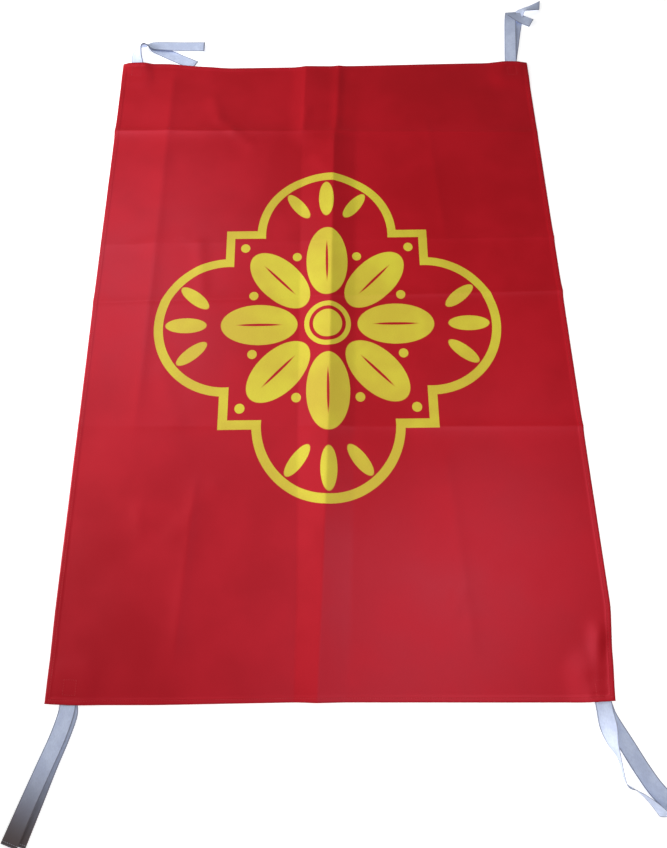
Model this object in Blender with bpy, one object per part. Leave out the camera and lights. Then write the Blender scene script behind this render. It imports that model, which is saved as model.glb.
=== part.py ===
"""Palio banner: a printed satin cloth with a folded tape tie sewn behind each corner, laid out flat.

Units are metres and +Z is up. +Y points to the banner's top edge.
The origin is on the surface, under the middle of the whole part.
"""

import math
from collections import namedtuple

import bmesh
import bpy
from mathutils import Vector

# Driving dimensions of the cloth
CLOTH_WIDTH = 0.700
CLOTH_HEIGHT = 1.000
CLOTH_THICKNESS = 0.001

# Driving dimensions of the ties
TAPE_WIDTH = 0.020
TAPE_THICKNESS = 0.001
SEWN_LENGTH = 0.028
GAP = 0.0003

# Heights that follow from the thicknesses
LAYER_PITCH = TAPE_THICKNESS + GAP
STEM_HEIGHT = (LAYER_PITCH + TAPE_THICKNESS) / 2
CLEAR_OF_TIE = LAYER_PITCH + TAPE_THICKNESS + 2 * GAP

# How the corners are raised over the ties
LIFT_MARGIN = 0.014
LIFT_FADE = 0.034
PUFF_FADE = 0.016

# How far in from the top and bottom edges their unevenness dies out
EDGE_FADE = 0.130

# How finely a tape is drawn between two of its lines
STEPS_PER_LINE = 4
BEND_STEPS = 6

# The top and bottom edges: where across, and how far off the nominal line
EdgePoint = namedtuple("EdgePoint", "x out")
TOP_EDGE = [
    EdgePoint(-0.350, -0.001),
    EdgePoint(-0.305, 0.000),
    EdgePoint(-0.270, -0.001),
    EdgePoint(-0.222, -0.007),
    EdgePoint(-0.166, -0.011),
    EdgePoint(-0.046, -0.010),
    EdgePoint(0.090, -0.007),
    EdgePoint(0.212, -0.005),
    EdgePoint(0.316, -0.004),
    EdgePoint(0.345, -0.006),
]
BOTTOM_EDGE = [
    EdgePoint(-0.350, -0.003),
    EdgePoint(-0.311, -0.001),
    EdgePoint(-0.215, 0.000),
    EdgePoint(-0.040, -0.001),
    EdgePoint(0.200, 0.002),
    EdgePoint(0.295, 0.003),
    EdgePoint(0.340, 0.001),
]

# The side edges: how far up from the bottom, and where across
SidePoint = namedtuple("SidePoint", "up left right")
SIDE_EDGES = [
    SidePoint(0.000, -0.3472, 0.3376),
    SidePoint(0.033, -0.3474, 0.3414),
    SidePoint(0.068, -0.3480, 0.3455),
    SidePoint(0.105, -0.3487, 0.3500),
    SidePoint(0.550, -0.3498, 0.3474),
    SidePoint(1.000, -0.3490, 0.3432),
]

# The storage fold down the middle: its two creases and how high each stands
BandPoint = namedtuple("BandPoint", "up left right left_height right_height")
BAND = [
    BandPoint(0.000, -0.0477, -0.0199, 0.0000, 0.0040),
    BandPoint(0.118, -0.0449, -0.0133, 0.0000, 0.0045),
    BandPoint(0.370, -0.0454, -0.0021, 0.0000, 0.0050),
    BandPoint(0.640, -0.0435, 0.0052, 0.0000, 0.0048),
    BandPoint(0.830, -0.0420, 0.0100, 0.0006, 0.0040),
    BandPoint(0.880, -0.0400, 0.0140, 0.0030, 0.0008),
    BandPoint(1.000, -0.0359, 0.0240, 0.0034, 0.0004),
]
BAND_FOOT_LEFT = 0.024
BAND_FOOT_RIGHT = 0.026

# Creases across the cloth, as low ridges that are stronger on one side than on the other
CrossCrease = namedtuple("CrossCrease", "up slope reach left_height middle_height right_height")
CROSS_CREASES = [
    CrossCrease(0.347, -0.004, 0.016, 0.0003, 0.0008, 0.0020),
    CrossCrease(0.548, 0.006, 0.018, 0.0014, 0.0018, 0.0026),
    CrossCrease(0.644, 0.003, 0.015, 0.0004, 0.0005, 0.0018),
    CrossCrease(0.852, -0.005, 0.018, 0.0028, 0.0014, 0.0010),
]

# Short creases that run down the cloth, as low ridges
DownCrease = namedtuple("DownCrease", "x lean low high reach height")
DOWN_CREASES = [
    DownCrease(-0.2650, 0.006, 0.300, 1.060, 0.034, 0.0016),
    DownCrease(-0.1890, 0.008, 0.030, 0.290, 0.032, 0.0018),
    DownCrease(0.1650, -0.010, 0.040, 0.330, 0.036, 0.0010),
    DownCrease(0.1720, -0.010, 0.620, 0.900, 0.036, 0.0008),
]

# Where the lower top-left tail slips under the top edge
TUCK_LOW_X = -0.272
TUCK_HIGH_X = -0.214
TUCK_DEPTH = 0.016
TUCK_LIFT = TAPE_THICKNESS + 3 * GAP

# The grid of the cloth: lines beside each side edge, lines between, and rows up the cloth
SIDE_LINES = [0.000, 0.012, 0.026, 0.042, 0.062]
LEFT_LINES = [0.085, 0.118, 0.160, 0.195, 0.235]
RIGHT_LINES = [0.235, 0.182, 0.150, 0.112]
ROWS = [
    0.000, 0.012, 0.028, 0.044, 0.068, 0.105, 0.150, 0.200, 0.255, 0.300,
    0.331, 0.347, 0.363, 0.410, 0.470, 0.530, 0.548, 0.566, 0.600, 0.629,
    0.644, 0.659, 0.710, 0.770, 0.834, 0.852, 0.870, 0.895, 0.930, 0.956,
    0.972, 0.988, 1.000,
]

# One line across a tape: its middle beside the tie's place and out past the cloth's edge, its height,
# the direction it points in seen from above, how far its right end is tilted up, and its slant off square
TapeLine = namedtuple("TapeLine", "side out height across tilt slant")

# A tie: its place at the cloth's edge, which way is out, how much the cloth's edge puffs up over it,
# the lines both layers share, and each free tail, with the upper one's lines past a fold
Tie = namedtuple("Tie", "name x edge outward puff stem upper upper_folded lower")

SEWN_START = TapeLine(0.0, -SEWN_LENGTH, STEM_HEIGHT, 0, 0, 0)
SEWN_END = TapeLine(0.0, -0.005, STEM_HEIGHT, 0, 0, 0)

TIES = [
    Tie(
        name="tie_top_left",
        x=-0.3246,
        edge=0.4990,
        outward=1,
        puff=0.0024,
        stem=[
            SEWN_START,
            TapeLine(0.0000, -0.0050, 0.00135, 0, 1, 0),
            TapeLine(-0.0002, 0.0000, 0.0020, -1, 3, 0),
            TapeLine(-0.0007, 0.0060, 0.0036, -4, 11, 0),
            TapeLine(-0.0018, 0.0140, 0.0056, -9, 20, 0),
            TapeLine(-0.0010, 0.0240, 0.0076, -22, 29, 0),
            TapeLine(0.0028, 0.0318, 0.0092, -46, 42, 0),
            TapeLine(0.0076, 0.0335, 0.0100, -66, 50, 0),
            TapeLine(0.0132, 0.0348, 0.0100, -78, 50, 0),
            TapeLine(0.0182, 0.0368, 0.0084, -86, 30, 0),
        ],
        upper=[
            TapeLine(0.0240, 0.0380, 0.0062, -90, 12, 0),
            TapeLine(0.0400, 0.0375, 0.0054, -91, 4, 0),
            TapeLine(0.0700, 0.0362, 0.0052, -90, 2, 0),
            TapeLine(0.1135, 0.0355, 0.0050, -90, 0, 0),
        ],
        upper_folded=None,
        lower=[
            TapeLine(0.0250, 0.0355, 0.0036, -104, 8, 0),
            TapeLine(0.0420, 0.0275, 0.0022, -116, 2, 0),
            TapeLine(0.0680, 0.0140, 0.0010, -117, 0, 0),
            TapeLine(0.0980, -0.0015, 0.0007, -118, 0, 0),
        ],
    ),
    Tie(
        name="tie_top_right",
        x=0.3158,
        edge=0.4960,
        outward=1,
        puff=0.0010,
        stem=[
            SEWN_START,
            SEWN_END,
        ],
        upper=[
            TapeLine(0.0006, 0.0100, 0.0026, -4, 0, 0),
            TapeLine(0.0034, 0.0450, 0.0040, -5, 0, 0),
            TapeLine(0.0062, 0.0800, 0.0056, -5, -2, 0),
            TapeLine(0.0072, 0.0955, 0.0074, 10, -8, 15),
            TapeLine(0.0084, 0.1055, 0.0088, 25, -15, 30),
        ],
        upper_folded=[
            TapeLine(0.0176, 0.1015, 0.0062, 42, -8, 19),
            TapeLine(0.0290, 0.0950, 0.0046, 58, -2, 3),
            TapeLine(0.0450, 0.0872, 0.0036, 61, 0, 0),
        ],
        lower=[
            TapeLine(0.0022, 0.0100, 0.0006, -8, 0, 0),
            TapeLine(0.0095, 0.0450, 0.0006, -12, 0, 0),
            TapeLine(0.0168, 0.0800, 0.0008, -14, 0, 0),
            TapeLine(0.0212, 0.0980, 0.0014, -26, 4, 0),
            TapeLine(0.0262, 0.1100, 0.0036, -58, 16, 0),
            TapeLine(0.0345, 0.1168, 0.0056, -92, 25, 0),
            TapeLine(0.0461, 0.1216, 0.0047, -100, 16, 0),
            TapeLine(0.0653, 0.1322, 0.0014, -98, -3, 0),
        ],
    ),
    Tie(
        name="tie_bottom_left",
        x=-0.3190,
        edge=-0.4970,
        outward=-1,
        puff=0.0,
        stem=[
            SEWN_START,
            SEWN_END,
        ],
        upper=[
            TapeLine(-0.0012, 0.0120, 0.0020, -9, 0, 0),
            TapeLine(-0.0078, 0.0370, 0.0026, -17, 0, 0),
            TapeLine(-0.0178, 0.0650, 0.0040, -20, 1, 0),
            TapeLine(-0.0308, 0.1000, 0.0048, -20, 2, 0),
            TapeLine(-0.0482, 0.1455, 0.0030, -19, 0, 0),
        ],
        upper_folded=None,
        lower=[
            TapeLine(0.0026, 0.0120, 0.0006, -8, 0, 0),
            TapeLine(-0.0040, 0.0370, 0.0006, -16, 0, 0),
            TapeLine(-0.0138, 0.0650, 0.0006, -19, 0, 0),
            TapeLine(-0.0250, 0.1000, 0.0006, -19, 0, 0),
            TapeLine(-0.0398, 0.1460, 0.0006, -18, 0, 0),
        ],
    ),
    Tie(
        name="tie_bottom_right",
        x=0.3240,
        edge=-0.5015,
        outward=-1,
        puff=0.0012,
        stem=[
            SEWN_START,
            SEWN_END,
        ],
        upper=[
            TapeLine(0.0002, 0.0100, 0.0030, 1, 5, 0),
            TapeLine(0.0002, 0.0270, 0.0068, 9, 28, 0),
            TapeLine(0.0006, 0.0435, 0.0108, 24, 72, 0),
            TapeLine(0.0059, 0.0617, 0.0112, 22, 102, 0),
            TapeLine(0.0094, 0.0830, 0.0110, 24, 107, 0),
            TapeLine(0.0162, 0.0888, 0.0112, 60, 88, 0),
            TapeLine(0.0262, 0.0945, 0.0112, 62, 85, 0),
            TapeLine(0.0382, 0.1045, 0.0110, 48, 76, 0),
            TapeLine(0.0508, 0.1182, 0.0100, 34, 62, 0),
        ],
        upper_folded=None,
        lower=[
            TapeLine(0.0018, 0.0060, 0.0006, 8, 0, 0),
            TapeLine(0.0062, 0.0200, 0.0006, 22, 0, 0),
            TapeLine(0.0215, 0.0480, 0.0010, 28, 0, 0),
            TapeLine(0.0350, 0.0738, 0.0024, 30, 1, 0),
            TapeLine(0.0500, 0.0965, 0.0032, 40, 5, 0),
            TapeLine(0.0760, 0.1205, 0.0012, 50, 0, 0),
        ],
    ),
]

# Colours and roughness seen on the object
CLOTH_RED = (0.48, 0.024, 0.034, 1.0)
CLOTH_ROUGHNESS = 0.42
TAPE_WHITE = (0.72, 0.77, 0.86, 1.0)
TAPE_ROUGHNESS = 0.80


def smooth(value):
    """Eases from 0 to 1."""
    value = min(max(value, 0.0), 1.0)
    return value * value * (3 - 2 * value)


def read_table(table, key, column, at):
    """The column's value at a place between the rows of a table, along straight lines from row to row."""
    if at <= getattr(table[0], key):
        return getattr(table[0], column)
    for low, high in zip(table, table[1:]):
        start = getattr(low, key)
        end = getattr(high, key)
        if at <= end:
            share = (at - start) / (end - start)
            return getattr(low, column) * (1 - share) + getattr(high, column) * share
    return getattr(table[-1], column)


def tie_lift(x, y):
    """How high the cloth stands over the nearest tie's folded tape."""
    lift = 0.0
    for tie in TIES:
        inner = tie.edge - tie.outward * SEWN_LENGTH
        beside = max(abs(x - tie.x) - TAPE_WIDTH / 2, 0.0)
        past_end = max((inner - y) * tie.outward, 0.0)
        away = math.hypot(beside, past_end)
        over_tape = CLEAR_OF_TIE * (1 - smooth((away - LIFT_MARGIN) / LIFT_FADE))
        near_edge = 1 - smooth((tie.edge - y) * tie.outward / SEWN_LENGTH)
        puff = tie.puff * near_edge * (1 - smooth(beside / PUFF_FADE))
        lift = max(lift, over_tape + puff)
    return lift


def tuck_lift(x, y):
    """How high the top edge stands over the tail that slips under it."""
    beside = max(TUCK_LOW_X - x, x - TUCK_HIGH_X, 0.0)
    past_end = max(CLOTH_HEIGHT / 2 - TUCK_DEPTH - y, 0.0)
    away = math.hypot(beside, past_end)
    return TUCK_LIFT * (1 - smooth((away - LIFT_MARGIN) / LIFT_FADE))


def band_height(x, up):
    """The storage fold: a flat strip that leans between its two creases, with a slope on each side."""
    left = read_table(BAND, "up", "left", up)
    right = read_table(BAND, "up", "right", up)
    left_height = read_table(BAND, "up", "left_height", up)
    right_height = read_table(BAND, "up", "right_height", up)
    if x < left:
        return left_height * max(1 - (left - x) / BAND_FOOT_LEFT, 0.0)
    if x > right:
        return right_height * max(1 - (x - right) / BAND_FOOT_RIGHT, 0.0)
    share = (x - left) / (right - left)
    return left_height * (1 - share) + right_height * share


def cross_crease_height(crease, x, up):
    """A ridge across the cloth, as high as the side of the cloth it is on has it."""
    centre = crease.up + crease.slope * x / (CLOTH_WIDTH / 2)
    share = abs(x) / (CLOTH_WIDTH / 2)
    side_height = crease.left_height if x < 0 else crease.right_height
    height = crease.middle_height * (1 - share) + side_height * share
    return height * max(1 - abs(up - centre) / crease.reach, 0.0)


def down_crease_height(crease, x, up):
    """A short ridge down the cloth that dies out at both ends."""
    middle = (crease.low + crease.high) / 2
    half = (crease.high - crease.low) / 2
    along = (up - middle) / half
    centre = crease.x + crease.lean * along
    ends = smooth((1 - abs(along)) * 3)
    return crease.height * ends * max(1 - abs(x - centre) / crease.reach, 0.0)


def cloth_height(x, y, up):
    """The height of the cloth's underside above the surface it lies on."""
    folds = band_height(x, up)
    folds += max(cross_crease_height(crease, x, up) for crease in CROSS_CREASES)
    folds += max(down_crease_height(crease, x, up) for crease in DOWN_CREASES)
    return max(folds, tie_lift(x, y), tuck_lift(x, y))


def cloth_y(x, up):
    """Where a row of the cloth lies, with the top and bottom edges as uneven as they are."""
    top = read_table(TOP_EDGE, "x", "out", x)
    bottom = read_table(BOTTOM_EDGE, "x", "out", x)
    top_share = 1 - smooth((CLOTH_HEIGHT - up) / EDGE_FADE)
    bottom_share = 1 - smooth(up / EDGE_FADE)
    return up - CLOTH_HEIGHT / 2 + top * top_share - bottom * bottom_share


def row_places(up):
    """Where the grid's lines cross one row: close beside the edges and exactly on the fold's creases."""
    left_edge = read_table(SIDE_EDGES, "up", "left", up)
    right_edge = read_table(SIDE_EDGES, "up", "right", up)
    fold_left = read_table(BAND, "up", "left", up)
    fold_right = read_table(BAND, "up", "right", up)
    places = [left_edge + line for line in SIDE_LINES + LEFT_LINES]
    places += [fold_left - BAND_FOOT_LEFT, fold_left]
    places += [(fold_left + fold_right) / 2]
    places += [fold_right, fold_right + BAND_FOOT_RIGHT]
    places += [right_edge - line for line in RIGHT_LINES]
    places += [right_edge - line for line in reversed(SIDE_LINES)]
    return places


def add_object(name, shape, colour, roughness):
    """Adds a closed shape as an object of its own with its own material, its faces pointing out."""
    bmesh.ops.recalc_face_normals(shape, faces=shape.faces)
    mesh = bpy.data.meshes.new(name)
    shape.to_mesh(mesh)
    shape.free()
    material = bpy.data.materials.new(name)
    material.use_nodes = True
    surface = material.node_tree.nodes["Principled BSDF"]
    surface.inputs["Base Color"].default_value = colour
    surface.inputs["Roughness"].default_value = roughness
    surface.inputs["Metallic"].default_value = 0.0
    mesh.materials.append(material)
    thing = bpy.data.objects.new(name, mesh)
    bpy.context.collection.objects.link(thing)
    return thing


def build_cloth():
    """The banner's one piece of cloth, its underside on the surface wherever no fold raises it."""
    shape = bmesh.new()
    under = []
    over = []
    for up in ROWS:
        under_row = []
        over_row = []
        for x in row_places(up):
            y = cloth_y(x, up)
            low = cloth_height(x, y, up)
            under_row.append(shape.verts.new((x, y, low)))
            over_row.append(shape.verts.new((x, y, low + CLOTH_THICKNESS)))
        under.append(under_row)
        over.append(over_row)
    rows = len(under)
    lines = len(under[0])
    for j in range(rows - 1):
        for i in range(lines - 1):
            for layer in (under, over):
                near = (layer[j][i], layer[j][i + 1])
                far = (layer[j + 1][i + 1], layer[j + 1][i])
                shape.faces.new(near + far)
    rim = [(0, i) for i in range(lines)]
    rim += [(j, lines - 1) for j in range(1, rows)]
    rim += [(rows - 1, i) for i in range(lines - 2, -1, -1)]
    rim += [(j, 0) for j in range(rows - 2, 0, -1)]
    for here, there in zip(rim, rim[1:] + rim[:1]):
        a = under[here[0]][here[1]]
        b = under[there[0]][there[1]]
        c = over[there[0]][there[1]]
        d = over[here[0]][here[1]]
        shape.faces.new((a, b, c, d))
    return add_object("banner_cloth", shape, CLOTH_RED, CLOTH_ROUGHNESS)


def line_ends(tie, line):
    """The left and right ends of one line across a tape, from the tie's place at the cloth's edge."""
    turn = math.radians(line.across)
    tilt = math.radians(line.tilt)
    half = TAPE_WIDTH / 2 / math.cos(math.radians(line.slant))
    along = Vector((math.cos(tilt) * math.cos(turn), math.cos(tilt) * math.sin(turn), math.sin(tilt)))
    middle = Vector((line.side, tie.outward * line.out, line.height))
    return middle - along * half, middle + along * half


def spline_point(before, start, end, after, share):
    """A point on the smooth curve through four points, between the middle two."""
    squared = share * share
    cubed = squared * share
    return 0.5 * (
        2 * start
        + (end - before) * share
        + (2 * before - 5 * start + 4 * end - after) * squared
        + (3 * start - before - 3 * end + after) * cubed
    )


def drawn_lines(lines):
    """More lines across the tape, read from smooth curves through the ends of the given ones."""
    padded = [lines[0]] + lines + [lines[-1]]
    drawn = []
    for k in range(len(lines) - 1):
        group = padded[k : k + 4]
        for step in range(STEPS_PER_LINE):
            share = step / STEPS_PER_LINE
            drawn.append(tuple(spline_point(*[pair[side] for pair in group], share) for side in (0, 1)))
    drawn.append(lines[-1])
    return drawn


def line_normals(lines):
    """The direction square to the tape at each of its lines, up where the tape lies flat."""
    normals = []
    for k, (left, right) in enumerate(lines):
        before = lines[max(k - 1, 0)]
        after = lines[min(k + 1, len(lines) - 1)]
        forward = (after[0] + after[1]) - (before[0] + before[1])
        normals.append((right - left).cross(forward).normalized())
    return normals


def moved(lines, normals, distance):
    """The lines moved square to the tape."""
    return [
        (left + normal * distance, right + normal * distance)
        for (left, right), normal in zip(lines, normals)
    ]


def half_turn(line, up, forward, drop):
    """Lines around a fold: the tape turns under by half a circle and comes back lower by drop."""
    radius = drop / 2
    turned = []
    for step in range(1, BEND_STEPS):
        angle = math.pi * step / BEND_STEPS
        shift = forward * (radius * math.sin(angle)) - up * (radius * (1 - math.cos(angle)))
        turned.append((line[0] + shift, line[1] + shift))
    return turned


def tape_solid(lines):
    """A closed tape of the tape's thickness around its lines."""
    shape = bmesh.new()
    normals = line_normals(lines)
    rings = []
    for (left, right), normal in zip(lines, normals):
        half = normal * (TAPE_THICKNESS / 2)
        corners = (left - half, right - half, right + half, left + half)
        rings.append([shape.verts.new(corner) for corner in corners])
    for ring, following in zip(rings, rings[1:]):
        for k in range(4):
            m = (k + 1) % 4
            shape.faces.new((ring[k], ring[m], following[m], following[k]))
    shape.faces.new(reversed(rings[0]))
    shape.faces.new(rings[-1])
    return shape


def build_tie(tie):
    """One tape folded at its middle: the fold and a short stretch are sewn behind the cloth's corner."""
    stem = drawn_lines([line_ends(tie, line) for line in tie.stem])
    facing = line_normals(stem)
    if facing[0].z < 0:
        facing = [-normal for normal in facing]
    over = moved(stem, facing, LAYER_PITCH / 2)
    under = moved(stem, facing, -LAYER_PITCH / 2)
    upper_lines = [line_ends(tie, line) for line in tie.upper]
    lower_lines = [line_ends(tie, line) for line in tie.lower]
    keep = STEPS_PER_LINE
    upper = over[:-keep] + drawn_lines([over[-keep]] + [over[-1]] + upper_lines)
    lower = under[:-keep] + drawn_lines([under[-keep]] + [under[-1]] + lower_lines)
    if tie.upper_folded:
        crease = upper[-1]
        along = (crease[1] - crease[0]).normalized()
        outward = Vector((0, tie.outward, 0))
        outward = (outward - along * outward.dot(along)).normalized()
        raised = outward.cross(along) * (1 if outward.cross(along).z > 0 else -1)
        drop = raised * -LAYER_PITCH
        landed = (crease[0] + drop, crease[1] + drop)
        after = [line_ends(tie, line) for line in tie.upper_folded]
        upper += half_turn(crease, raised, outward, LAYER_PITCH)
        upper += drawn_lines([landed] + after)
    inward = Vector((0, -tie.outward, 0))
    sewn_fold = half_turn(upper[0], Vector((0, 0, 1)), inward, LAYER_PITCH)
    shape = tape_solid(list(reversed(upper)) + sewn_fold + lower)
    thing = add_object(tie.name, shape, TAPE_WHITE, TAPE_ROUGHNESS)
    thing.location = Vector((tie.x, tie.edge, 0))
    return thing


def stand_on_origin(things):
    """Moves the whole part so that the origin is on the surface under its middle."""
    corners = [thing.location + vertex.co for thing in things for vertex in thing.data.vertices]
    low = Vector([min(corner[k] for corner in corners) for k in range(3)])
    high = Vector([max(corner[k] for corner in corners) for k in range(3)])
    shift = Vector(((low.x + high.x) / 2, (low.y + high.y) / 2, low.z))
    for thing in things:
        thing.location -= shift


def main():
    for thing in list(bpy.data.objects):
        bpy.data.objects.remove(thing)
    things = [build_cloth()]
    things += [build_tie(tie) for tie in TIES]
    stand_on_origin(things)


main()
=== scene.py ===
"""Looks of the palio banner: the printed satin cloth, its hem, its tape ties and their stitches.

Sizes are in metres. Places are given in the banner's own frame: its middle is at 0, 0 and +Y points to the
top edge. ROW_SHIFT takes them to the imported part's frame, whose origin is under the middle of the whole part.
"""

import math
from collections import namedtuple

import bpy
import numpy as np
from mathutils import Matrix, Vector


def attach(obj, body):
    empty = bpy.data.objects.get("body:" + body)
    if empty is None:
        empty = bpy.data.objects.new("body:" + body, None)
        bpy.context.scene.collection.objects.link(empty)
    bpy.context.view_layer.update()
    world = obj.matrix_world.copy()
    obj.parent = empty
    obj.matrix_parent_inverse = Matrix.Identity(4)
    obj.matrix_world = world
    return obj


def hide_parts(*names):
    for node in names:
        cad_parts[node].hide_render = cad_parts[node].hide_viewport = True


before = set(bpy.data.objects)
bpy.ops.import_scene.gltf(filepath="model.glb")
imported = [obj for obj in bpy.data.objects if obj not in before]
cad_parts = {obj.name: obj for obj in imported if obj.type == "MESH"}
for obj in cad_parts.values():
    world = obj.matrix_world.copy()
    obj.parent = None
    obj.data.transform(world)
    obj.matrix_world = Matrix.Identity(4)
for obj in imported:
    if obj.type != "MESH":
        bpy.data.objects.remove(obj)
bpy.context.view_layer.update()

ROW_SHIFT = np.array([0.0148952, -0.0039799, -0.000007])


def listed(kind, *values):
    """A table's rows, each with its columns named."""
    return [kind(*value) for value in values]


# The cloth
CLOTH_WIDTH = 0.700
CLOTH_HEIGHT = 1.000
CLOTH_SKIN = 0.00045
CLOTH_OFF_SURFACE = 0.00040
HEM_WIDTH = 0.0066
HEM_RISE = 0.00035
HEM_STEP = 0.0016
HEM_OFF_SURFACE = 0.00004
HEM_STITCH_IN = 0.0048
HEM_STITCH_PITCH = 0.0031
HEM_STITCH_LENGTH = 0.0021
HEM_STITCHES_FROM = -0.340
HEM_STITCHES_TO = 0.336
HEM_GROOVE_WIDTH = 0.0006
HEM_GROOVE_SHARE = 0.55
RIM_WIDTH = 0.0014
RIM_DROP = 0.0002
EDGE_FADE = 0.130
EDGE_ROUNDING = 0.008
ROUNDING_SHARES = (-1.0, -0.5, 0.0, 0.5, 1.0)

# The ties
TAPE_WIDTH = 0.020
TAPE_SKIN = 0.0006
TAPE_HEM = 0.0070
TAPE_HEM_RISE = 0.00035
TAPE_HEM_STEP = 0.0012
TAPE_HEM_STITCH_IN = 0.0015
TAPE_HEM_STITCHES = 7
TAPE_STITCH_LENGTH = 0.0019
TAPE_STITCH_RISE = 0.0001
TAPE_END_THINNESS = 0.55
TAPE_END_TAPER = 0.0008
TAPE_SIDE_THINNESS = 0.45
TAPE_SIDE_TAPER = 0.03
SEWN_LENGTH = 0.028
LAYER_PITCH = 0.0013
STEM_HEIGHT = 0.00115
CLEAR_OF_TIE = 0.0027
LIFT_MARGIN = 0.014
LIFT_FADE = 0.034
PUFF_FADE = 0.016
TUCK_LOW_X = -0.272
TUCK_HIGH_X = -0.214
TUCK_DEPTH = 0.016
TUCK_LIFT = 0.0019
TAPE_STEPS = 9
BEND_STEPS = 8
TAPE_COLUMNS = np.array([0.0, 0.012, 0.045, 0.12, 0.25, 0.4, 0.55, 0.7, 0.82, 0.92, 0.965, 0.988, 1.0])

# The rectangle of stitches that holds a tie behind its corner
BOX_STITCH_HALF = 0.0075
BOX_STITCH_NEAR = 0.0080
BOX_STITCH_FAR = 0.0250
BOX_STITCH_PITCH = 0.0029
BOX_CORNER_GAP = 0.0015
BOX_LAST_STITCH = 0.0010

# One stitch: how far along it each ring of its thread is, how thick it is there and how far it stands out
Ring = namedtuple("Ring", "along girth rise")
THREAD_RINGS = listed(
    Ring,
    (-0.5, 0.35, -0.9),
    (-0.32, 0.9, -0.1),
    (0.0, 1.0, 0.35),
    (0.32, 0.9, -0.1),
    (0.5, 0.35, -0.9),
)
THREAD_RADIUS = 0.00022
THREAD_FLATNESS = 0.75
THREAD_SIDES = 6
STITCH_REACH = 0.0015

# The top and bottom edges: where across, and how far off the nominal line
EdgePoint = namedtuple("EdgePoint", "x out")
TOP_EDGE = listed(
    EdgePoint,
    (-0.35, -0.001),
    (-0.305, 0.0),
    (-0.27, -0.001),
    (-0.222, -0.007),
    (-0.166, -0.011),
    (-0.046, -0.01),
    (0.09, -0.007),
    (0.212, -0.005),
    (0.316, -0.004),
    (0.345, -0.006),
)
BOTTOM_EDGE = listed(
    EdgePoint,
    (-0.35, -0.003),
    (-0.311, -0.001),
    (-0.215, 0.0),
    (-0.04, -0.001),
    (0.2, 0.002),
    (0.295, 0.003),
    (0.34, 0.001),
)

# The side edges: how far up from the bottom, and where across
SidePoint = namedtuple("SidePoint", "up left right")
SIDE_EDGES = listed(
    SidePoint,
    (0.0, -0.3472, 0.3376),
    (0.033, -0.3474, 0.3414),
    (0.068, -0.348, 0.3455),
    (0.105, -0.3487, 0.35),
    (0.55, -0.3498, 0.3474),
    (1.0, -0.349, 0.3432),
)

# The storage fold down the middle: its two creases and how high each stands
BandPoint = namedtuple("BandPoint", "up left right left_height right_height")
BAND = listed(
    BandPoint,
    (0.0, -0.0477, -0.0199, 0.0, 0.004),
    (0.118, -0.0449, -0.0133, 0.0, 0.0045),
    (0.37, -0.0454, -0.0021, 0.0, 0.005),
    (0.64, -0.0435, 0.0052, 0.0, 0.005),
    (0.83, -0.042, 0.01, 0.0004, 0.0046),
    (0.88, -0.04, 0.014, 0.0018, 0.0008),
    (1.0, -0.0359, 0.024, 0.002, 0.0004),
)
BAND_FOOT_LEFT = 0.024
BAND_FOOT_RIGHT = 0.036
BAND_ROUNDING = 0.0016
BAND_FOOT_BEND_LEFT = 0.6
BAND_FOOT_BEND_RIGHT = 0.2
BAND_RAISE = 1.3

# Creases across the cloth: how far up, how much that rises towards the right edge, how high the crease
# stands at the left edge, in the middle and at the right edge, and how far its near and far slopes reach
CrossCrease = namedtuple("CrossCrease", "up slope left_height middle_height right_height near far")
CROSS_CREASES = listed(
    CrossCrease,
    (0.347, -0.004, 0.0003, 0.0008, 0.002, 0.006, 0.009),
    (0.548, 0.006, 0.0014, 0.0018, 0.0026, 0.006, 0.01),
    (0.644, 0.003, 0.0004, 0.0005, 0.0018, 0.006, 0.009),
    (0.852, -0.005, 0.0028, 0.0014, 0.001, 0.008, 0.008),
)
CROSS_ROUNDING = 0.0015
CROSS_WARP = 0.045

# Short creases down the cloth: where across, how much that moves to the right on the way up, where it
# starts and ends, how far its left and right slopes reach, and its height
DownCrease = namedtuple("DownCrease", "x lean low high left right height")
DOWN_CREASES = listed(
    DownCrease,
    (-0.265, 0.006, 0.3, 1.06, 0.016, 0.012, 0.0016),
    (-0.189, 0.008, 0.03, 0.29, 0.016, 0.009, 0.0018),
    (0.165, -0.01, 0.04, 0.33, 0.016, 0.012, 0.001),
    (0.172, -0.01, 0.62, 0.9, 0.016, 0.01, 0.0008),
)
DOWN_ROUNDING = 0.0022

# Small wrinkles: from one place to another, how wide and how high. A height below 0 is a trough
Wrinkle = namedtuple("Wrinkle", "x up end_x end_up width height")
WRINKLES = listed(
    Wrinkle,
    (-0.327, 1.004, -0.319, 0.96, 0.0035, 0.0007),
    (-0.306, 1.004, -0.303, 0.965, 0.0035, 0.0006),
    (-0.19, 0.925, -0.179, 0.88, 0.006, 0.0011),
    (-0.179, 0.88, -0.16, 0.862, 0.005, 0.0009),
    (-0.153, 0.852, -0.124, 0.826, 0.005, 0.0009),
    (-0.206, 0.205, -0.156, 0.262, 0.0075, 0.0012),
    (-0.256, 0.235, -0.25, 0.205, 0.005, 0.0008),
    (0.1575, 0.122, 0.1545, 0.106, 0.005, 0.001),
    (0.317, 0.002, 0.329, 0.075, 0.0055, 0.0032),
    (0.337, 0.01, 0.34, 0.06, 0.004, -0.0007),
    (-0.1985, 0.64, -0.19, 0.56, 0.006, 0.001),
    (-0.295, 0.64, -0.225, 0.655, 0.006, 0.0007),
    (-0.24, 0.43, -0.215, 0.36, 0.007, 0.0008),
    (-0.04, 0.838, 0.011, 0.832, 0.006, 0.0008),
    (0.015, 0.865, 0.021, 1.004, 0.0042, 0.0017),
    (-0.04, 0.86, -0.033, 0.9, 0.004, 0.0009),
    (-0.02, 0.8, 0.004, 0.77, 0.005, 0.0006),
)

WRINKLE_SHARE = 0.75
WRINKLE_SPREAD = 1.3

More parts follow.
